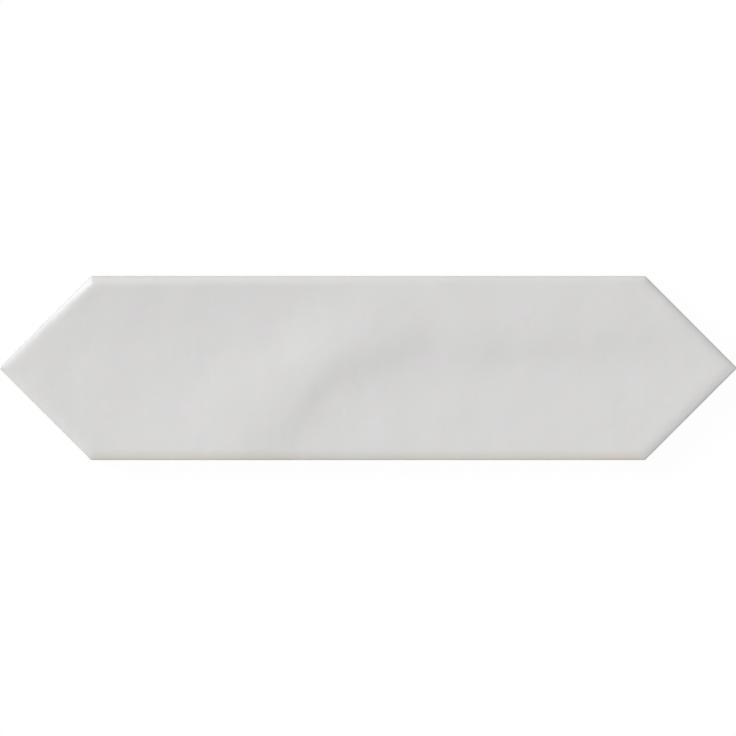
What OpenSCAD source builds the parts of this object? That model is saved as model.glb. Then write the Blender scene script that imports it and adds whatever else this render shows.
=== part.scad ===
// Pointed wall tile, pressed from clay and glazed: a long hexagon with a point at each end.
// X runs from point to point, Y across the long edges and Z out of the glazed face.
// The origin is at the middle of the back, on the plane of its ribs.

/* [Outline] */
// Length from point to point
tile_l = 300; // [250:5:350]
// Width across the two long edges
tile_w = 75; // [60:1:90]
// Angle between the two edges that meet at a point
point_angle = 90; // [80:5:110]
// Radius of the six corners, seen from above
corner_r = 1; // [0.6:0.1:2]

/* [Body] */
// Thickness from the back to the low ground of the face
tile_t = 7.4; // [6.4:0.2:10]
// Bevel round the edge of the back
back_bevel = 0.6; // [0.3:0.1:1]

/* [Rounded edge of the face] */
// Width of the roll-off along the two long sides
long_roll_w = 4.4; // [3:0.2:7]
// Fall of the roll-off at the long sides
long_roll_h = 0.6; // [0.3:0.05:1]
// Width of the roll-off along the four sloping sides
point_roll_w = 5.5; // [3:0.25:8]
// Fall at the two sloping sides on the right
right_roll_h = 0.6; // [0.3:0.05:1]
// Fall at the lower left sloping side
lower_left_roll_h = 0.42; // [0.2:0.02:0.8]
// Fall at the upper left sloping side
upper_left_roll_h = 0.34; // [0.2:0.02:0.8]
// Extra fall from the lip to a long side, as a share of its height
long_lip_share = 0.33; // [0:0.03:0.6]
// Extra fall from the lip to a sloping side, as a share of its height
point_lip_share = 0.63; // [0:0.03:0.9]
// Sharpness of the mitres where two roll-offs meet
mitre_power = 5; // [3:1:8]
// Radius of the outermost edge
arris_r = 0.3; // [0.2:0.05:0.6]

/* [Fold that crosses the face] */
// Height of the fold
fold_h = 1.35; // [0.6:0.05:2]
// Where its back slope crosses the middle line
back_x = -47.3; // [-60:0.1:-36]
// Slope of its back, from the long sides
back_angle = 32.5; // [20:0.5:45]
// Softness of its back
back_soft = 6.4; // [4:0.2:10]
// Where it starts on the left
fold_start_x = -70; // [-90:1:-55]
// Softness of its start
fold_start_soft = 16; // [8:1:24]
// Where the steep stretch of its front crosses the middle line
front_x = -13.5; // [-20:0.5:-8]
// Slope of the steep stretch
front_angle = 50; // [40:1:65]
// Where the turned stretch of its front crosses the middle line
turn_x = -2.4; // [-10:0.1:4]
// Slope of the turned stretch
turn_angle = 20; // [10:1:30]
// Softness of the bend between the two stretches
bend_soft = 1.1; // [0.8:0.1:6]
// Softness of the front where it bends
front_soft = 2.8; // [2:0.1:5]
// Softness of the wider front on the right
apron_soft = 3.8; // [2:0.1:6]
// Where the front widens on the right
apron_x = -14.7; // [-24:0.1:0]
// Length over which it widens there
apron_blend = 1.8; // [1:0.1:6]
// Softness that the front gains towards the left
tail_soft = 5.8; // [0:0.2:10]
// Where it has gained half of that
tail_x = -40; // [-50:1:-30]
// Length over which it gains it
tail_blend = 8; // [3:0.5:12]
// Height of the fold's left part, as a share of the rest
low_share = 0.74; // [0.4:0.02:1]
// Where the lower part ends
low_x = -27; // [-40:1:-10]
// Softness of that step in height
low_soft = 4; // [2:0.5:10]
// Where the fold ends on the right
fold_end_x = 27; // [18:1:36]
// Softness of its end
fold_end_soft = 5.3; // [3:0.1:9]

/* [Shelf on the right of the fold] */
// Height of the shelf
shelf_h = 1.46; // [0.6:0.02:2]
// Distance of its front from the middle line
shelf_y = 4.9; // [0:0.1:12]
// Slope of its front, from the long sides
shelf_angle = 2.1; // [-3:0.1:8]
// Softness of its front
shelf_soft = 3.9; // [2.5:0.1:7]
// Where it starts on the left
shelf_start_x = 27; // [18:1:36]
// Softness of its start
shelf_start_soft = 4.9; // [3:0.1:9]
// Where it fades out on the right
shelf_end_x = 113.5; // [90:0.5:130]
// Softness of that end
shelf_end_soft = 22.5; // [12:0.5:30]

/* [Lip along the upper left edge] */
// Height of the lip
lip_h = 3.2; // [1:0.1:4]
// Distance of its slope from the middle line
lip_y = 31.5; // [26:0.5:36]
// Softness of its slope
lip_soft = 10.8; // [7:0.2:14]
// Where it fades out on the right
lip_end_x = 10; // [-20:1:30]
// Softness of that end
lip_end_soft = 11.3; // [6:0.1:18]

/* [Back] */
// Plain border round the ribs
border_w = 5; // [4:0.5:8]
// Rows of hollows across the width
hollow_rows = 5; // [3:1:7]
// Width of a rib
rib_w = 2.2; // [1.6:0.2:3]
// Depth of the hollows between the ribs
hollow_d = 0.7; // [0.4:0.1:1.2]

/* [Hidden] */
half_l = tile_l / 2;
half_w = tile_w / 2;
point_a = point_angle / 2;
// Where the straight sides would meet at a point, before the corner is eased.
sharp_half_l = half_l - corner_r + corner_r / sin(point_a);

// The six sides, anticlockwise from the upper right one: their outward directions.
side_angles = [90 - point_a, 90, 90 + point_a, 270 - point_a, 270, 270 + point_a];
sides = [0 : 5];
// Fall of the face at each side, before the lip adds to it.
side_roll_h = [right_roll_h, long_roll_h, upper_left_roll_h, lower_left_roll_h, long_roll_h, right_roll_h];

// The face is modelled a little past the outline and then cut to it.
overhang = 0.6;
// Where the edge's arc gives way to a straight run through the outline.
arc_start = arris_r / 10;

// Mesh of the face: rings inside the outline, closed on a line along the middle.
long_steps = 76;
point_steps = 15;
ring_steps = 2 * long_steps + 4 * point_steps;
roll_steps = 6;
inner_rings = 11;
arris_rings = [-overhang, arc_start, 0.35 * arris_r, 0.65 * arris_r];
roll_rings = [for (k = [0 : roll_steps - 1]) arris_r + (point_roll_w - arris_r) * k / roll_steps];
middle_rings = [for (k = [0 : inner_rings - 1]) point_roll_w + (half_w - point_roll_w) * k / inner_rings];
rings = concat(arris_rings, roll_rings, middle_rings);

// The hollows stand in rows and columns, counted from the point of the border.
border_tip = sharp_half_l - border_w / sin(point_a);
row_pitch = (tile_w - 2 * border_w) / hollow_rows;
last_column = border_tip - rib_w / 2;
hollow_columns = round(last_column / row_pitch);
column_pitch = last_column / hollow_columns;

// How far a cut or a block runs past the surface that it crosses.
reach = 1;
face_top = tile_t + fold_h + shelf_h + lip_h + reach;

$fn = 48;

function normal(side) = [cos(side_angles[side]), sin(side_angles[side])];

// Distance of a side from the centre.
function side_distance(side) = side % 3 == 1 ? half_w : sharp_half_l * sin(point_a);

// The six corners at a distance inside the outline, from the right-hand point.
function corners(inset) =
    let (
        tip_x = sharp_half_l - inset / sin(point_a),
        side_y = half_w - inset,
        shoulder_x = tip_x - side_y / tan(point_a)
    )
    [
        [tip_x, 0], [shoulder_x, side_y], [-shoulder_x, side_y],
        [-tip_x, 0], [-shoulder_x, -side_y], [shoulder_x, -side_y]
    ];

// The same outline, divided into the steps of the mesh.
function ring(inset) =
    let (c = corners(inset))
    [
        for (side = sides)
            let (steps = side % 3 == 1 ? long_steps : point_steps)
            for (k = [0 : steps - 1]) c[side] + (c[(side + 1) % 6] - c[side]) * k / steps
    ];

// Distance of a point inside each of the six sides.
function inside(x, y) = [for (side = sides) side_distance(side) - [x, y] * normal(side)];

// A rise from 0 to 1 round t = 0.
function rise(t) = 1 / (1 + exp(-t));

// Distance to the upper left of a slanting line that crosses the middle line at crossing_x.
function above(x, y, crossing_x, angle) = y * cos(angle) - (x - crossing_x) * sin(angle);

// A rise at one place along the tile and a fall at another.
function stretch(x, start, start_soft, end, end_soft) =
    rise((x - start) / start_soft) * rise((end - x) / end_soft);

// Distance behind the front of the fold: the smooth maximum of the distances above its two stretches.
function behind_front(x, y) =
    let (
        steep = above(x, y, front_x, front_angle),
        turned = above(x, y, turn_x, turn_angle)
    )
    bend_soft * ln(exp(steep / bend_soft) + exp(turned / bend_soft));

// The front is crisp where it bends, and widens to an apron on the right and a tail on the left.
function front_width(x) =
    front_soft
    + (apron_soft - front_soft) * rise((x - apron_x) / apron_blend)
    + tail_soft * rise((tail_x - x) / tail_blend);

// The fold: a slow climb on its back times a short front, lower at the left.
function fold(x, y) =
    let (
        climb = rise(-above(x, y, back_x, back_angle) / back_soft),
        front = rise(behind_front(x, y) / front_width(x)),
        low = 1 - (1 - low_share) * rise((low_x - x) / low_soft)
    )
    fold_h * climb * front * low * stretch(x, fold_start_x, fold_start_soft, fold_end_x, fold_end_soft);

// The shelf: high ground above a nearly level front.
function shelf(x, y) =
    shelf_h
    * rise((above(x, y, 0, shelf_angle) - shelf_y) / shelf_soft)
    * stretch(x, shelf_start_x, shelf_start_soft, shelf_end_x, shelf_end_soft);

// The lip: a slope up to the upper left edge.
function lip(x, y) = lip_h * rise((y - lip_y) / lip_soft) * rise((lip_end_x - x) / lip_end_soft);

// What is left of a roll-off at a distance from its side: 1 at the side and 0 at its full width.
function share_left(d, width) = max(1 - d / width, 0);

// Fall towards one side at a distance inside it: a square law at a long side, a cube at a sloping one.
function side_fall(side, d, lip_fall) =
    side % 3 == 1
    ? (side_roll_h[side] + long_lip_share * lip_fall) * pow(share_left(d, long_roll_w), 2)
    : (side_roll_h[side] + point_lip_share * lip_fall) * pow(share_left(d, point_roll_w), 3);

// Fall of the face towards its edges. The six falls are blended as the root of a sum of powers.
function roll_off(x, y) =
    let (
        d = inside(x, y),
        lip_fall = pow(lip(x, y), 2) / lip_h,
        powers = [for (side = sides) pow(side_fall(side, d[side], lip_fall), mitre_power)]
    )
    pow(powers * [1, 1, 1, 1, 1, 1], 1 / mitre_power);

// The arc at the very edge, which gives way to a straight run through the outline.
function arc_fall(d) = arris_r - sqrt(pow(arris_r, 2) - pow(arris_r - d, 2));
arc_slope = (arris_r - arc_start) / sqrt(pow(arris_r, 2) - pow(arris_r - arc_start, 2));
function arris(d) =
    d > arris_r ? 0
    : d > arc_start ? arc_fall(d)
    : arc_fall(arc_start) + arc_slope * (arc_start - d);

function face_z(x, y) =
    tile_t + fold(x, y) + shelf(x, y) + lip(x, y) - roll_off(x, y) - arris(min(inside(x, y)));

// Two triangles between two neighbouring rings, or one where a corner of the inner one is shared.
function strip(a, b, inner_a, inner_b) =
    inner_a == inner_b ? [[a, b, inner_a]] : [[a, b, inner_b], [a, inner_b, inner_a]];

// The point on the middle line that each step of a ring closes on.
function on_middle(i) =
    let (k = i % ring_steps, half = ring_steps / 2)
    k < half ? min(max(k - point_steps, 0), long_steps)
    : long_steps - min(max(k - half - point_steps, 0), long_steps);

// A block under the glazed face, wider and deeper than the tile.
module face_block() {
    middle = corners(half_w);
    middle_x = [for (k = [0 : long_steps]) middle[0][0] * (1 - 2 * k / long_steps)];
    points = concat(
        [[0, 0, -reach]],
        [for (p = ring(-overhang)) [p[0], p[1], -reach]],
        [for (inset = rings) for (p = ring(inset)) [p[0], p[1], face_z(p[0], p[1])]],
        [for (x = middle_x) [x, 0, face_z(x, 0)]]
    );
    last = len(rings);
    middle_start = 1 + (last + 1) * ring_steps;
    faces = concat(
        [for (i = [0 : ring_steps - 1]) [0, 1 + (i + 1) % ring_steps, 1 + i]],
        [
            for (r = [0 : last - 1])
                for (i = [0 : ring_steps - 1])
                    let (
                        from = 1 + r * ring_steps,
                        j = (i + 1) % ring_steps,
                        inner = from + ring_steps
                    )
                    each strip(from + i, from + j, inner + i, inner + j)
        ],
        [
            for (i = [0 : ring_steps - 1])
                let (
                    from = 1 + last * ring_steps,
                    j = (i + 1) % ring_steps
                )
                each strip(from + i, from + j, middle_start + on_middle(i), middle_start + on_middle(i + 1))
        ]
    );
    // Faces are listed anticlockwise from outside, and turned for the kernel.
    polyhedron(points, [for (f = faces) [f[0], f[2], f[1]]]);
}

// The outline: straight sides between six rounded corners.
module outline() {
    centres = corners(corner_r);
    polygon([
        for (i = sides)
            for (side = [(i + 5) % 6, i]) centres[i] + corner_r * normal(side)
    ]);
    for (c = centres) translate(c) circle(corner_r);
}

// Bevels that take the edge off the back, one along each side.
module back_edge_cuts() {
    cut = [[-back_bevel - reach, -reach], [reach, -reach], [reach, back_bevel + reach]];
    for (side = sides)
        rotate([90, 0, side_angles[side]])
            translate([side_distance(side), 0, 0])
                linear_extrude(tile_l, center = true) polygon(cut);
}

// Square hollows between crossing ribs, cut off along the border.
module hollows() {
    size = [column_pitch - rib_w, row_pitch - rib_w];
    middle_row = (hollow_rows - 1) / 2;
    intersection() {
        polygon(corners(border_w));
        for (column = [-hollow_columns : hollow_columns], row = [0 : hollow_rows - 1])
            translate([column * column_pitch, (row - middle_row) * row_pitch]) square(size, center = true);
    }
}

module tile() {
    color([0.83, 0.83, 0.82]) difference() {
        intersection() {
            linear_extrude(face_top) outline();
            face_block();
        }
        back_edge_cuts();
        translate([0, 0, -reach]) linear_extrude(reach + hollow_d) hollows();
    }
}

tile();
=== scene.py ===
import math

import bmesh
import bpy
import numpy as np
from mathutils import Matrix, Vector, geometry


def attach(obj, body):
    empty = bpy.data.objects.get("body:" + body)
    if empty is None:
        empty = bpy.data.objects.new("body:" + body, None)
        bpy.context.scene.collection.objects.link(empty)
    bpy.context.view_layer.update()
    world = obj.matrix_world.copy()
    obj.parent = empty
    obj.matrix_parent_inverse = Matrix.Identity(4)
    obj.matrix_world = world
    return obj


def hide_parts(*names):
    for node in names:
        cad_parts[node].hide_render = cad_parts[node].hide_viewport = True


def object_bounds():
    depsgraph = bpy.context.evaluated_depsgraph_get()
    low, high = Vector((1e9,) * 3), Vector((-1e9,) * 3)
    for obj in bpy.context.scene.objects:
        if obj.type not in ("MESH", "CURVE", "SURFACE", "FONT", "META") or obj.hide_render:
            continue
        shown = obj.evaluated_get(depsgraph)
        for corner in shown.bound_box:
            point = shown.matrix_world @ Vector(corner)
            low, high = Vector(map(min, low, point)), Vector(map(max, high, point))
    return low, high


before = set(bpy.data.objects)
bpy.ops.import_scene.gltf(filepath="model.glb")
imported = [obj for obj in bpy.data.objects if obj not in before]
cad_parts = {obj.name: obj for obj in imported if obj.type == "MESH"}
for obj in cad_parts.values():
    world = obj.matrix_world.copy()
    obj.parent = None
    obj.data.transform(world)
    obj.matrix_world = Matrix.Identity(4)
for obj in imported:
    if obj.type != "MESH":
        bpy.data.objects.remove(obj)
cad_low, cad_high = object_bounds()


# The glazed face. The tile is one pressed piece of clay with a coat of gloss glaze fused on.
# The die gives the face its slow waves, and the glaze rounds it off towards the edges.
mm = 0.001
half_length = cad_high.x
half_width = cad_high.y
low_ground = 7.4 * mm
point_angle = math.radians(45)
corner_radius = 1.0 * mm
mitre_power = 5
long_roll_width = 4.4 * mm
long_roll_fall = 0.6 * mm
point_roll_width = 5.5 * mm
right_roll_fall = 0.6 * mm
lower_left_roll_fall = 0.42 * mm
upper_left_roll_fall = 0.34 * mm
long_lip_share = 0.33
point_lip_share = 0.63
arris_radius = 0.3 * mm

fold_height = 1.35 * mm
fold_back_x = -47.3 * mm
fold_back_angle = math.radians(32.5)
fold_back_softness = 6.4 * mm
fold_start_x = -70 * mm
fold_start_softness = 16 * mm
fold_front_x = -13.5 * mm
fold_front_angle = math.radians(50)
fold_turn_x = -2.4 * mm
fold_turn_angle = math.radians(20)
fold_bend = 1.1 * mm
front_softness = 2.8 * mm
apron_softness = 3.8 * mm
apron_x = -14.7 * mm
apron_blend = 1.8 * mm
tail_softness = 5.8 * mm
tail_x = -40 * mm
tail_blend = 8 * mm
fold_low_share = 0.74
fold_low_x = -27 * mm
fold_low_softness = 4 * mm
fold_end_x = 27 * mm
fold_end_softness = 5.3 * mm
shelf_height = 1.46 * mm
shelf_y = 4.9 * mm
shelf_angle = math.radians(2.1)
shelf_softness = 3.9 * mm
shelf_start_x = 27 * mm
shelf_start_softness = 4.9 * mm
shelf_end_x = 113.5 * mm
shelf_end_softness = 22.5 * mm
lip_height = 3.2 * mm
lip_y = 31.5 * mm
lip_softness = 10.8 * mm
lip_end_x = 10 * mm
lip_end_softness = 11.3 * mm

sharp_half_length = half_length - corner_radius + corner_radius / math.sin(point_angle)
shoulder_x = sharp_half_length - half_width / math.tan(point_angle)
tile_corners = np.array([
    [sharp_half_length, 0], [shoulder_x, half_width], [-shoulder_x, half_width],
    [-sharp_half_length, 0], [-shoulder_x, -half_width], [shoulder_x, -half_width],
])


def rise(t):
    """A smooth climb from 0 to 1 round t = 0: 1 / (1 + e^-t)."""
    return 1 / (1 + np.exp(-np.clip(t, -60, 60)))


def above(x, y, crossing_x, angle):
    """Distance to the upper left of a slanting line that crosses the middle line at crossing_x."""
    return y * math.cos(angle) - (x - crossing_x) * math.sin(angle)


def stretch(x, start, start_softness, end, end_softness):
    """1 between two places along the tile and 0 beyond them: the product of two rises."""
    return rise((x - start) / start_softness) * rise((end - x) / end_softness)


def lip(x, y):
    """Height of the lip along the upper left edge: a rise across it that fades at the right."""
    return lip_height * rise((y - lip_y) / lip_softness) * rise((lip_end_x - x) / lip_end_softness)


def waves(x, y):
    """Height of the waves: a fold, a shelf to the right of it and the lip.

    The fold is a slow climb times a short front that bends, and the front is the smooth maximum
    b ln(e^(p/b) + e^(q/b)) of the distances p and q above its two stretches. The front is crisp where
    it bends. It widens to an apron on the right and to a tail on the left, where the fold is lower.
    """
    climb = rise(-above(x, y, fold_back_x, fold_back_angle) / fold_back_softness)
    steep = above(x, y, fold_front_x, fold_front_angle) / fold_bend
    turned = above(x, y, fold_turn_x, fold_turn_angle) / fold_bend
    softness = front_softness + tail_softness * rise((tail_x - x) / tail_blend)
    softness += (apron_softness - front_softness) * rise((x - apron_x) / apron_blend)
    front = rise(fold_bend * np.logaddexp(steep, turned) / softness)
    low = 1 - (1 - fold_low_share) * rise((fold_low_x - x) / fold_low_softness)
    fold = climb * front * low * stretch(x, fold_start_x, fold_start_softness, fold_end_x, fold_end_softness)
    shelf = rise((above(x, y, 0, shelf_angle) - shelf_y) / shelf_softness)
    shelf *= stretch(x, shelf_start_x, shelf_start_softness, shelf_end_x, shelf_end_softness)
    return fold_height * fold + shelf_height * shelf + lip(x, y)


ripple_height = 0.004 * mm
ripple_count = 14
golden_angle = math.pi * (3 - math.sqrt(5))


def ripples(x, y):
    """Faint unevenness of the fired glaze: plane waves 9 to 30 mm long, each turned by the golden angle."""
    total = np.zeros_like(x)
    for k in range(ripple_count):
        length = (9 + 21 * k / ripple_count) * mm
        along = x * math.cos(k * golden_angle) + y * math.sin(k * golden_angle)
        total += length / (10 * mm) * np.sin(2 * math.pi * along / length + k * k)
    return ripple_height * total


def side_lines(corners):
    """Outward normals of a convex polygon's sides, and each side's distance from the origin."""
    along = np.roll(corners, -1, axis=0) - corners
    along /= np.linalg.norm(along, axis=1, keepdims=True)
    normals = np.stack([along[:, 1], -along[:, 0]], axis=1)
    return normals, np.sum(normals * corners, axis=1)


def side_distances(x, y):
    """Distances inside the six sides, along a last axis."""
    normals, reach = side_lines(tile_corners)
    return reach - x[..., None] * normals[:, 0] - y[..., None] * normals[:, 1]


def roll_off(x, y):
    """Fall of the face towards its edges: the fifth root of the sum of the fifth powers of six falls.

    With t for the share of the way in, a long side falls by f (1 - t)^2 and a sloping one by f (1 - t)^3.
    The fall f is larger where the lip meets the side.
    """
    inside = side_distances(x, y)
    more = lip(x, y)[..., None] ** 2 / lip_height
    point_falls = np.array([right_roll_fall, upper_left_roll_fall, lower_left_roll_fall, right_roll_fall])
    to_point = (point_falls + point_lip_share * more) * np.clip(1 - inside[..., [0, 2, 3, 5]] / point_roll_width, 0, None) ** 3
    to_long = (long_roll_fall + long_lip_share * more) * np.clip(1 - inside[..., [1, 4]] / long_roll_width, 0, None) ** 2
    powers = np.sum(to_point ** mitre_power, axis=-1) + np.sum(to_long ** mitre_power, axis=-1)
    return powers ** (1 / mitre_power)


def rounded_outline(corners, inset, radius, arc_steps, side_steps):
    """Closed outlines of a convex polygon, one for each inset, as (outlines, points, 2).

    Each side moves inwards by the inset. Each corner is an arc of its radius, tangent to both sides,
    whose centre is where the two sides meet when moved inwards by inset plus radius.
    """
    normals, reach = side_lines(corners)
    before = np.roll(normals, 1, axis=0)
    inwards = (inset + radius)[:, None]
    here, there = reach - inwards, np.roll(reach, 1) - inwards
    cross = before[:, 0] * normals[:, 1] - before[:, 1] * normals[:, 0]
    centre_x = (there * normals[:, 1] - here * before[:, 1]) / cross
    centre_y = (here * before[:, 0] - there * normals[:, 0]) / cross
    centres = np.stack([centre_x, centre_y], axis=-1)
    start = np.arctan2(before[:, 1], before[:, 0])
    turn = np.arctan2(cross, np.sum(before * normals, axis=1))
    angle = start[:, None] + turn[:, None] * np.linspace(0, 1, arc_steps + 1)
    arcs = centres[:, :, None] + radius[:, None, None, None] * np.stack([np.cos(angle), np.sin(angle)], -1)
    parts = []
    for side, steps in enumerate(side_steps):
        share = np.linspace(0, 1, steps + 1)[1:-1, None]
        first, last = arcs[:, side, -1:], arcs[:, (side + 1) % len(side_steps), :1]
        parts += [arcs[:, side], first + (last - first) * share]
    return np.concatenate(parts, axis=1)


corner_steps = 8
edge_steps = [48, 200, 48, 48, 200, 48]
arris_rings = 9
roll_rings = 12
ground_rings = 28
last_inset = half_width - 1.5 * mm

# Rings of the face run from the middle out to the wall. The outermost ones follow a quarter circle.
ground_insets = np.linspace(last_inset, point_roll_width, ground_rings, endpoint=False)
roll_insets = np.linspace(point_roll_width, arris_radius, roll_rings, endpoint=False)
quarter = np.linspace(math.pi / 2, 0, arris_rings)
arris_insets = arris_radius * (1 - np.cos(quarter))
face_insets = np.concatenate([ground_insets, roll_insets, arris_insets])
arris_falls = np.concatenate([
    np.zeros(ground_rings + roll_rings), arris_radius * (1 - np.sin(quarter))
])
face_xy = rounded_outline(
    tile_corners, face_insets, np.full_like(face_insets, corner_radius), corner_steps, edge_steps
)
top_clearance = 0.02 * mm


def face_height(x, y):
    """Height of the glazed face without its arris: the low ground, the waves and the roll-off."""
    return low_ground - top_clearance + waves(x, y) + ripples(x, y) - roll_off(x, y)


face_x, face_y = face_xy[..., 0], face_xy[..., 1]
face_rings = np.dstack([face_xy, face_height(face_x, face_y) - arris_falls[:, None]])

# The innermost ring closes on the middle line.
spine_half_length = sharp_half_length - half_width / math.sin(point_angle)
spine_x = np.clip(face_x[0], -spine_half_length, spine_half_length)
spine = np.stack([spine_x, 0 * spine_x, face_height(spine_x, 0 * spine_x)], axis=1)
face_rings = np.concatenate([spine[None], face_rings])

# The side wall. The glaze runs a little way down it and ends in a wandering, rounded lip.
# Below the lip is bare clay, as the die pressed it, with a bevel round the back.
glaze_reach = 1.6 * mm
glaze_wander = 0.35 * mm
glaze_thickness = 0.16 * mm
back_bevel = 0.6 * mm
back_round = 0.15 * mm

rim = face_rings[-1]
around = np.cumsum(np.linalg.norm(rim - np.roll(rim, 1, axis=0), axis=1))
turns = 2 * math.pi * around / around[-1]
wander = sum(np.sin(k * turns + 1.7 * k * k) / math.sqrt(k) for k in (3, 7, 12, 19, 31, 47)) / 2
glaze_end = rim[:, 2] - glaze_reach + glaze_wander * wander

wall_insets = []
wall_heights = []
for inset, above_end in ((0.0, 1.0), (0.01, 0.6), (0.02, 0.35), (0.04, 0.18), (0.09, 0.06), (0.16, 0.0)):
    wall_insets.append(inset * mm)
    wall_heights.append(glaze_end + above_end * mm)
glaze_wall_rings = len(wall_insets)
for inset, height in ((0.17, 3.8), (0.17, 2.6), (0.17, 1.5), (0.17, 0.78), (0.2, 0.66), (0.28, 0.54),
                      (0.62, 0.17), (0.72, 0.06), (0.86, 0.0)):
    wall_insets.append(inset * mm)
    wall_heights.append(np.full_like(glaze_end, height * mm))
wall_insets = np.array(wall_insets)
wall_xy = rounded_outline(
    tile_corners, wall_insets, np.maximum(corner_radius - wall_insets, 0.3 * mm), corner_steps, edge_steps
)
wall_rings = np.dstack([wall_xy, np.array(wall_heights)])

# The back. Square hollows between crossing ribs give the adhesive its grip.
# They are moulded with rounded corners, sloping walls and a soft foot, and end on a plain border.
border = 5 * mm
hollow_rows = 5
rib_width = 2.2 * mm
hollow_radius = 1.2 * mm
hollow_arc_steps = 4
hollow_profile = [(-0.25, 0.0), (-0.13, 0.03), (-0.04, 0.11), (0.08, 0.4), (0.16, 0.58), (0.28, 0.67), (0.5, 0.7)]

border_tip = sharp_half_length - border / math.sin(point_angle)
row_pitch = (2 * half_width - 2 * border) / hollow_rows
last_column = border_tip - rib_width / 2
columns = round(last_column / row_pitch)
column_pitch = last_column / columns
hollow_x = (column_pitch - rib_width) / 2
hollow_y = (row_pitch - rib_width) / 2

hollow_shapes = []
square = np.array([[-hollow_x, -hollow_y], [hollow_x, -hollow_y], [hollow_x, hollow_y], [-hollow_x, hollow_y]])
for row in range(-(hollow_rows // 2), hollow_rows // 2 + 1):
    whole = columns - abs(row) - 1
    y = row * row_pitch
    for column in range(-whole, whole + 1):
        hollow_shapes.append(square + [column * column_pitch, y])
    for end in (-1, 1):
        inner_x = (whole + 1) * column_pitch - hollow_x
        if row == 0:
            half_base = border_tip - inner_x
            cut = np.array([[inner_x, -half_base], [border_tip, 0], [inner_x, half_base]])
        else:
            inner_y = abs(y) - hollow_y
            legs = border_tip - inner_y - inner_x
            cut = np.array([[inner_x, inner_y], [inner_x + legs, inner_y], [inner_x, inner_y + legs]])
            cut[:, 1] *= np.sign(row)
        cut[:, 0] *= end
        flipped = end < 0 if row == 0 else end * row < 0
        hollow_shapes.append(cut[::-1] if flipped else cut)

hollow_insets = np.array([inset for inset, depth in hollow_profile]) * mm
hollow_depths = np.array([depth for inset, depth in hollow_profile]) * mm


def band(rings):
    """Points and quads between neighbouring closed rings, given as (rings, points, 3)."""
    count, size = rings.shape[:2]
    start = size * np.arange(count - 1)[:, None]
    here = np.arange(size)
    there = (here + 1) % size
    quads = np.stack([start + here, start + size + here, start + size + there, start + there], axis=-1)
    return rings.reshape(-1, 3), quads.reshape(-1, 4)


def fan(ring):
    """Points and triangles that close a ring on its middle."""
    size = len(ring)
    here = np.arange(size)
    triangles = np.stack([here, np.full(size, size), (here + 1) % size], axis=-1)
    return np.vstack([ring, ring.mean(axis=0)]), triangles


def rib_net(outline, hollows):
    """Points and triangles of the flat back: the plane inside the outline less the hollows' mouths.

    A triangle that has all its corners on one mouth lies inside it, because every mouth is convex.
    """
    loops = [outline] + hollows
    sizes = [len(loop) for loop in loops]
    starts = np.cumsum([0] + sizes)
    edges = np.concatenate([
        np.stack([first + np.arange(size), first + (np.arange(size) + 1) % size], axis=1)
        for first, size in zip(starts, sizes)
    ])
    points = [Vector(point) for point in np.concatenate(loops).tolist()]
    flat, _, triangles, origins, *_ = geometry.delaunay_2d_cdt(points, edges.tolist(), [], 1, 1e-9)
    flat = np.array([(point.x, point.y, 0.0) for point in flat])
    triangles = np.array(triangles)
    loop_of_point = np.repeat(np.arange(len(loops)), sizes)[[origin[0] for origin in origins]]
    loops_met = loop_of_point[triangles]
    in_mouth = (loops_met[:, 0] > 0) & (loops_met == loops_met[:, :1]).all(axis=1)
    return flat, triangles[~in_mouth, ::-1]


GLAZED, BARE = 0, 1
patches = [
    (*band(face_rings), GLAZED),
    (*band(np.concatenate([face_rings[-1:], wall_rings[:glaze_wall_rings]])), GLAZED),
    (*band(wall_rings[glaze_wall_rings - 1:]), BARE),
]
mouths = []
for shape in hollow_shapes:
    outlines = rounded_outline(
        shape, hollow_insets, hollow_radius - hollow_insets, hollow_arc_steps, [1] * len(shape)
    )
    heights = np.broadcast_to(hollow_depths[:, None], outlines.shape[:2])
    hollow_rings = np.dstack([outlines, heights])
    patches.append((*band(hollow_rings), BARE))
    patches.append((*fan(hollow_rings[-1]), BARE))
    mouths.append(outlines[0])
patches.append((*rib_net(wall_xy[-1], mouths), BARE))

points = np.concatenate([patch[0] for patch in patches])
offsets = np.cumsum([0] + [len(patch[0]) for patch in patches])
faces = [face for patch, first in zip(patches, offsets) for face in (patch[1] + first).tolist()]
coats = np.concatenate([np.full(len(patch[1]), patch[2]) for patch in patches])
flat_back = np.zeros(len(faces), bool)
flat_back[-len(patches[-1][1]):] = True

tile_mesh = bpy.data.meshes.new("glazed_tile")
tile_mesh.from_pydata(points.tolist(), [], faces)
tile_mesh.polygons.foreach_set("material_index", coats.astype(np.int32))
tile_mesh.polygons.foreach_set("use_smooth", ~flat_back)
welded = bmesh.new()
welded.from_mesh(tile_mesh)
bmesh.ops.remove_doubles(welded, verts=welded.verts, dist=0.001 * mm)
bmesh.ops.dissolve_degenerate(welded, edges=welded.edges, dist=0.0005 * mm)
welded.to_mesh(tile_mesh)
welded.free()

# The glaze thins over every edge, which dulls it. Grey painted shade also darkens the edges, most of all
# on the lit top and upper left, where it paints a darker line along the rim. The sides run anticlockwise
# from the upper right. Along the lower long edge the glaze breaks, most of all towards the two ends, and
# the warm clay shows through. At the right end it is worn down to redder clay. The upper left edge is
# tinted whiter and bluer, a painted highlight. All of this fades again down the side wall. Just inside
# the top and the upper left edge are two faint lines of painted shade, which sharpen the inner edge of
# the bright bands there. The left one leans away from its edge.
# Per side, how much the edges darken: partly thinner glaze, partly painted shade, strongest on the lit top and
# upper left.
side_thinness_and_shade = np.array([1.1, 1.4, 2.2, 0.75, 0.85, 0.65])
thin_and_shade_widths = np.array([0.55, 0.6, 0.25, 0.55, 0.55, 0.55]) * mm
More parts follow.
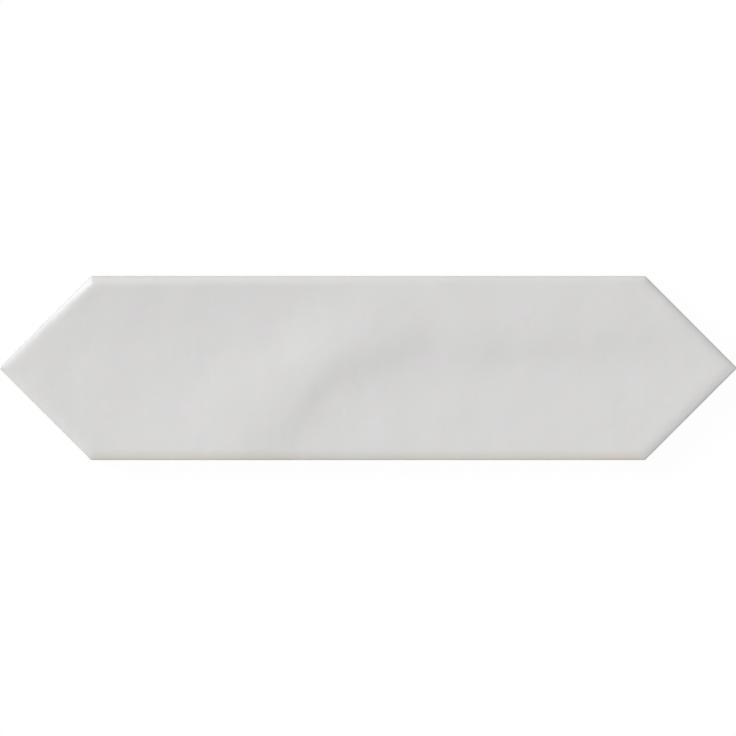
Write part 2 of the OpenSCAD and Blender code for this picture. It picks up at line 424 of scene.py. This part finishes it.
# Two faint lines of painted shade just inside the top and the upper left edge.
top_shade_line_inset = 2.65 * mm
top_shade_line_width = 0.9 * mm
top_shade_line_strength = 0.19
top_shade_line_start_x = -77 * mm
left_shade_line_inset = 0.8 * mm
left_shade_line_lean = 0.03
left_shade_line_width = 0.38 * mm
left_shade_line_strength = 0.32
left_shade_line_end_x = -122 * mm
shade_line_softness = 4 * mm
break_width = 0.85 * mm
whole_start_x = -32 * mm
whole_end_x = 54 * mm
whole_softness = 3 * mm
whole_share = 0.5
warm_width = 3 * mm
# Width of the painted highlight tint along the upper left edge.
highlight_tint_width = 1.2 * mm
wall_fade = 0.4 * mm
worn_start_x = 94 * mm
worn_softness = 1.5 * mm
lower_warmth = 0.23
upper_warmth = 0.08
co = np.zeros(len(tile_mesh.vertices) * 3)
tile_mesh.vertices.foreach_get("co", co)
x, y, z = co.reshape(-1, 3).T
from_sides = np.clip(side_distances(x, y), 0, None)
down_wall = np.clip(face_height(x, y) - arris_radius - z, 0, None)
on_face = np.exp(-down_wall / wall_fade)
thinness_and_shade_here = 1 + (side_thinness_and_shade - 1) * on_face[:, None]
thin_and_shade = (thinness_and_shade_here * np.exp(-from_sides / thin_and_shade_widths)).max(axis=-1)
# Painted shade: the two faint lines inside the top and the upper left edge.
off_top_shade_line = (from_sides[:, 1] - top_shade_line_inset) / top_shade_line_width
thin_and_shade += top_shade_line_strength * rise((x - top_shade_line_start_x) / shade_line_softness) * np.exp(-off_top_shade_line ** 2)
off_left_shade_line = (from_sides[:, 2] - left_shade_line_inset - left_shade_line_lean * (x + half_length)) / left_shade_line_width
thin_and_shade += left_shade_line_strength * on_face * rise((left_shade_line_end_x - x) / shade_line_softness) * np.exp(-off_left_shade_line ** 2)
on_long_edge = rise((shoulder_x - 1 * mm - np.abs(x)) / (0.5 * mm))
from_long_edge = np.clip(half_width - np.abs(y), 0, None)
whole = whole_share * stretch(x, whole_start_x, whole_softness, whole_end_x, whole_softness)
broken = np.where(y < 0, 1 - whole, 0) * np.exp(-(from_long_edge / break_width) ** 3)
warm = np.where(y < 0, lower_warmth, upper_warmth) * np.exp(-(from_long_edge / warm_width) ** 3)
broken = on_face * on_long_edge * np.maximum(broken, warm)
worn = np.where(y < 0, rise((x - worn_start_x) / worn_softness), 0)
# Painted highlight: a whiter, bluer tint along the upper left edge.
painted_highlight = on_face * np.exp(-(from_sides[:, 2] / highlight_tint_width) ** 2)
edge_looks = {"thin_glaze": thin_and_shade, "broken_glaze": broken, "worn_glaze": worn, "pooled_glaze": painted_highlight}
for name, amount in edge_looks.items():
    layer = tile_mesh.attributes.new(name, "FLOAT", "POINT")
    layer.data.foreach_set("value", amount.astype(np.float32))

tile = bpy.data.objects.new("glazed_tile", tile_mesh)
bpy.context.scene.collection.objects.link(tile)


def new_material(name):
    """An empty node material with its shader, and a function that adds a node to it.

    add(kind, settings, **inputs) makes a node and fills its inputs by name. An input is a value or
    another node's output, and an underscore in its name stands for a space.
    """
    material = bpy.data.materials.new(name)
    material.use_nodes = True
    tree = material.node_tree
    shader = tree.nodes["Principled BSDF"]

    def add(kind, settings=None, node=None, **inputs):
        node = node or tree.nodes.new(kind)
        for setting, value in (settings or {}).items():
            setattr(node, setting, value)
        for name, value in inputs.items():
            socket = node.inputs[int(name[1:])] if name[0] == "_" else node.inputs[name.replace("_", " ")]
            if isinstance(value, bpy.types.NodeSocket):
                tree.links.new(value, socket)
            else:
                socket.default_value = value
        return node

    return material, shader, add


glaze_light = (0.6402, 0.6405, 0.625, 1)
glaze_warm = (0.653, 0.6385, 0.627, 1)
cool_tint = (1.002, 0.999, 1.03, 1)
# The next two give the grey and the strength of the edge darkening: partly thinner glaze, partly painted shade.
thin_glaze_and_shade_grey = (0.30, 0.30, 0.295, 1)
edge_dulling_and_shade = 0.34
# A bluer tint that paints the highlight on the upper left edge whiter.
painted_highlight_colour = (0.99, 1.0, 1.035, 1)
clay_under_glaze = (0.66, 0.60, 0.47, 1)
worn_clay = (0.68, 0.53, 0.39, 1)

glaze, shader, add = new_material("pale grey gloss glaze")
place = add("ShaderNodeTexCoord").outputs["Object"]
clouds = add("ShaderNodeTexNoise", Vector=place, Scale=160.0, Detail=2.0, Roughness=0.45)
warm_patches = add("ShaderNodeMapRange", Value=clouds.outputs["Fac"], From_Min=0.45, From_Max=0.65)
warmed = add(
    "ShaderNodeMix", {"data_type": "RGBA"}, _0=warm_patches.outputs["Result"], _6=glaze_light, _7=glaze_warm
)
cool_clouds = add("ShaderNodeTexNoise", Vector=place, Scale=110.0, Detail=3.0)
cool_patches = add("ShaderNodeMapRange", Value=cool_clouds.outputs["Fac"], From_Min=0.5, From_Max=0.68)
tint = add(
    "ShaderNodeMix", {"data_type": "RGBA", "blend_type": "MULTIPLY"}, _0=cool_patches.outputs["Result"],
    _6=warmed.outputs[2], _7=cool_tint
)
# Edge darkening: partly thinner glaze, partly painted shade on the rims.
thinness_and_shade_node = add("ShaderNodeAttribute", {"attribute_name": "thin_glaze"})
dulled_and_shaded = add(
    "ShaderNodeMath", {"operation": "MULTIPLY"}, _0=thinness_and_shade_node.outputs["Fac"], _1=edge_dulling_and_shade
)
toned_and_shaded = add(
    "ShaderNodeMix", {"data_type": "RGBA"}, _0=dulled_and_shaded.outputs["Value"], _6=tint.outputs[2], _7=thin_glaze_and_shade_grey
)
# Painted highlight: the upper left edge tinted whiter and bluer.
highlight_tints = add("ShaderNodeAttribute", {"attribute_name": "pooled_glaze"})
highlight_whitened = add(
    "ShaderNodeMix", {"data_type": "RGBA", "blend_type": "MULTIPLY"}, _0=highlight_tints.outputs["Fac"],
    _6=toned_and_shaded.outputs[2], _7=painted_highlight_colour
)
breaks = add("ShaderNodeAttribute", {"attribute_name": "broken_glaze"})
streaks = add("ShaderNodeTexNoise", Vector=place, Scale=30.0, Detail=4.0)
streak_range = add(
    "ShaderNodeMapRange", Value=streaks.outputs["Fac"], From_Min=0.3, From_Max=0.6, To_Min=0.6, To_Max=1.0
)
clay_shows = add(
    "ShaderNodeMath", {"operation": "MULTIPLY"}, _0=breaks.outputs["Fac"], _1=streak_range.outputs["Result"]
)
wear = add("ShaderNodeAttribute", {"attribute_name": "worn_glaze"})
edge_clay = add(
    "ShaderNodeMix", {"data_type": "RGBA"}, _0=wear.outputs["Fac"], _6=clay_under_glaze, _7=worn_clay
)
colour = add(
    "ShaderNodeMix", {"data_type": "RGBA"}, _0=clay_shows.outputs["Value"], _6=highlight_whitened.outputs[2],
    _7=edge_clay.outputs[2]
)
gloss = add("ShaderNodeTexNoise", Vector=place, Scale=120.0, Detail=3.0)
gloss_range = add(
    "ShaderNodeMapRange", Value=gloss.outputs["Fac"], From_Min=0.3, From_Max=0.7, To_Min=0.17, To_Max=0.25
)
peel = add("ShaderNodeTexNoise", Vector=place, Scale=260.0, Detail=2.0, Roughness=0.5)
peel_bump = add("ShaderNodeBump", Strength=1.0, Distance=0.08 * mm, Height=peel.outputs["Fac"])
add(
    None, node=shader, Base_Color=colour.outputs[2], Roughness=gloss_range.outputs["Result"], IOR=1.5,
    Normal=peel_bump.outputs["Normal"]
)

clay_pale = (0.52, 0.42, 0.32, 1)
clay_dark = (0.42, 0.32, 0.23, 1)
kiln_wash = (0.74, 0.71, 0.66, 1)
speck = (0.30, 0.20, 0.13, 1)

clay, shader, add = new_material("bare pressed clay")
place = add("ShaderNodeTexCoord").outputs["Object"]
mottle = add("ShaderNodeTexNoise", Vector=place, Scale=90.0, Detail=6.0, Roughness=0.65)
body_tint = add(
    "ShaderNodeMix", {"data_type": "RGBA"}, _0=mottle.outputs["Fac"], _6=clay_dark, _7=clay_pale
)
grit = add("ShaderNodeTexNoise", Vector=place, Scale=2600.0, Detail=2.0)
grit_range = add("ShaderNodeMapRange", Value=grit.outputs["Fac"], From_Min=0.66, From_Max=0.74)
gritty = add(
    "ShaderNodeMix", {"data_type": "RGBA"}, _0=grit_range.outputs["Result"], _6=body_tint.outputs[2], _7=speck
)
height = add("ShaderNodeSeparateXYZ", Vector=place)
on_ribs = add(
    "ShaderNodeMapRange", Value=height.outputs["Z"], From_Min=0.25 * mm, From_Max=0.02 * mm
)
smears = add("ShaderNodeTexNoise", Vector=place, Scale=140.0, Detail=5.0, Roughness=0.7, Distortion=0.6)
smear_range = add(
    "ShaderNodeMapRange", Value=smears.outputs["Fac"], From_Min=0.42, From_Max=0.6, To_Min=0.15, To_Max=0.85
)
wash = add(
    "ShaderNodeMath", {"operation": "MULTIPLY"}, _0=on_ribs.outputs["Result"], _1=smear_range.outputs["Result"]
)
washed = add(
    "ShaderNodeMix", {"data_type": "RGBA"}, _0=wash.outputs["Value"], _6=gritty.outputs[2], _7=kiln_wash
)
grain = add("ShaderNodeTexNoise", Vector=place, Scale=1800.0, Detail=4.0, Roughness=0.7)
grain_bump = add("ShaderNodeBump", Strength=0.5, Distance=0.05 * mm, Height=grain.outputs["Fac"])
add(
    None, node=shader, Base_Color=washed.outputs[2], Roughness=0.9, IOR=1.4, Normal=grain_bump.outputs["Normal"]
)

tile_mesh.materials.append(glaze)
tile_mesh.materials.append(clay)
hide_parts("tile")
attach(tile, "root")

# The floor that the tile lies on. It is plain and pale, and it keeps a trace of the tile's shadow.
floor_size = 8.0
floor_grey = (0.8, 0.8, 0.8, 1)
shadow_share = 0.03

bpy.ops.mesh.primitive_plane_add(size=floor_size)
floor = bpy.context.object
floor.name = "floor"
floor_paint, shader, add = new_material("white floor")
output = floor_paint.node_tree.nodes["Material Output"]
shown_paint = add("ShaderNodeBsdfDiffuse", Color=(shadow_share, shadow_share, shadow_share, 1))
glow = add("ShaderNodeEmission", Color=(1, 1, 1, 1), Strength=1 - shadow_share * 0.98)
shown = add("ShaderNodeAddShader", _0=shown_paint.outputs["BSDF"], _1=glow.outputs["Emission"])
plain = add("ShaderNodeBsdfDiffuse", Color=floor_grey)
rays = add("ShaderNodeLightPath")
seen = add(
    "ShaderNodeMath", {"operation": "MAXIMUM"}, _0=rays.outputs["Is Camera Ray"], _1=rays.outputs["Is Glossy Ray"]
)
seen = add(
    "ShaderNodeMath", {"operation": "MAXIMUM"}, _0=seen.outputs["Value"], _1=rays.outputs["Is Transmission Ray"]
)
mixed = add(
    "ShaderNodeMixShader", _0=seen.outputs["Value"], _1=plain.outputs["BSDF"], _2=shown.outputs["Shader"]
)
add(None, node=output, Surface=mixed.outputs["Shader"])
floor.data.materials.append(floor_paint)

# Light. A low, soft lamp from the left and a little above it models the waves.
# The white room fills the shadows, and the glaze reflects it.
lamp_azimuth = math.radians(156.5)
low_elevation = math.radians(22)
low_spread = math.radians(20)
low_share = 0.56
high_elevation = math.radians(62)
high_spread = math.radians(28)
high_share = 0.2
fill_elevation = math.radians(55)
fill_spread = math.radians(34)
fill_share = 0.15
room_light = 0.11

world = bpy.data.worlds.new("white room")
bpy.context.scene.world = world
world.use_nodes = True
nodes, links = world.node_tree.nodes, world.node_tree.links
rays = nodes.new("ShaderNodeLightPath")
seen = nodes.new("ShaderNodeMath")
seen.operation = "MAXIMUM"
links.new(rays.outputs["Is Camera Ray"], seen.inputs[0])
links.new(rays.outputs["Is Glossy Ray"], seen.inputs[1])
also_seen = nodes.new("ShaderNodeMath")
also_seen.operation = "MAXIMUM"
links.new(seen.outputs["Value"], also_seen.inputs[0])
links.new(rays.outputs["Is Transmission Ray"], also_seen.inputs[1])
strength = nodes.new("ShaderNodeMapRange")
strength.inputs["To Min"].default_value = room_light
strength.inputs["To Max"].default_value = 1.0
links.new(also_seen.outputs["Value"], strength.inputs["Value"])
links.new(strength.outputs["Result"], nodes["Background"].inputs["Strength"])
nodes["Background"].inputs["Color"].default_value = (1, 1, 1, 1)


def soft_sun(name, azimuth, elevation, spread, share):
    """A distant soft lamp. share is the light that it gives a level white surface.

    A lamp of strength S gives S sin(elevation) / pi of that light.
    """
    lamp = bpy.data.lights.new(name, "SUN")
    lamp.angle = spread
    lamp.energy = share * math.pi / math.sin(elevation)
    direction = Vector((
        math.cos(azimuth) * math.cos(elevation), math.sin(azimuth) * math.cos(elevation), math.sin(elevation)
    ))
    holder = bpy.data.objects.new(name, lamp)
    bpy.context.scene.collection.objects.link(holder)
    holder.rotation_euler = direction.to_track_quat("Z", "Y").to_euler()


soft_sun("low_window", lamp_azimuth, low_elevation, low_spread, low_share)
soft_sun("high_window", lamp_azimuth, high_elevation, high_spread, high_share)
soft_sun("fill", lamp_azimuth + math.pi, fill_elevation, fill_spread, fill_share)

# Camera. It looks straight down, and the tile's two points touch the sides of the picture.
lens = 200
sensor = 36
widest_height = 6.3 * mm

camera_data = bpy.data.cameras.new("camera")
camera_data.lens = lens
camera_data.sensor_width = sensor
camera = bpy.data.objects.new("camera", camera_data)
bpy.context.scene.collection.objects.link(camera)
camera.location = (0, 0, widest_height + half_length * lens / (sensor / 2))
bpy.context.scene.camera = camera
bpy.context.scene.view_settings.view_transform = "Standard"
